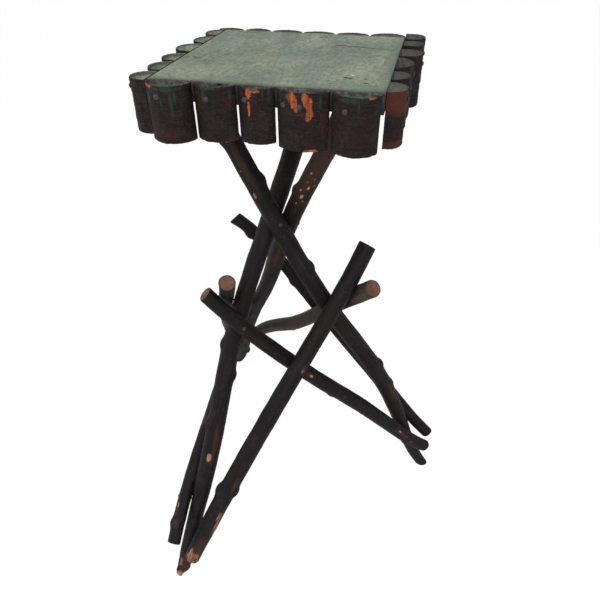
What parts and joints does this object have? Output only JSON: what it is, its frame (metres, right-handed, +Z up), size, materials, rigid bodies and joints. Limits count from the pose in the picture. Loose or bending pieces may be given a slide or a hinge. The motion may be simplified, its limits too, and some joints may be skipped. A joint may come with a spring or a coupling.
{
  "type": "rustic stick table",
  "caption": "Small square table with a skirt of split logs, standing on crossed bark-covered sticks that are braced by further sticks nailed across them.",
  "frame": {"origin": "on the floor under the middle of the table's overall footprint", "axes": "+Z up along the table's height, normal to the table top; +X to the right along the board's front edge, +Y to the back"},
  "size_m": [0.4861, 0.5416, 0.762],
  "materials": {
    "painted_board": "worn grey-green paint on sawn board",
    "split_log": "rough dark bark over split wood with grey weathered ends",
    "leg_stick": "smooth dark bark with knots",
    "brace_stick": "smooth brown bark with knots",
    "nail": "dulled old steel"
  },
  "bodies": {
    "root": {"top_board": "painted_board", "front_log_1": "split_log", "front_log_2": "split_log", "front_log_3": "split_log", "front_log_4": "split_log", "front_log_5": "split_log", "right_log_1": "split_log", "right_log_2": "split_log", "right_log_3": "split_log", "right_log_4": "split_log", "right_log_5": "split_log", "right_log_6": "split_log", "back_log_1": "split_log", "back_log_2": "split_log", "back_log_3": "split_log", "back_log_4": "split_log", "back_log_5": "split_log", "back_log_6": "split_log", "left_log_1": "split_log", "left_log_2": "split_log", "left_log_3": "split_log", "left_log_4": "split_log", "left_log_5": "split_log", "left_log_6": "split_log", "right_leg": "leg_stick", "front_leg": "leg_stick", "rear_leg": "leg_stick", "front_brace_over_right": "brace_stick", "front_brace_over_rear": "brace_stick", "right_brace_over_front": "brace_stick", "right_brace_over_rear": "brace_stick", "rear_brace_over_front": "brace_stick", "rear_brace_over_right": "brace_stick", "front_log_nails": "nail", "right_log_nails": "nail", "back_log_nails": "nail", "left_log_nails": "nail", "leg_top_nails": "nail", "leg_crossing_nails": "nail", "brace_foot_nails": "nail", "brace_crossing_nails": "nail"}
  },
  "joints": []
}
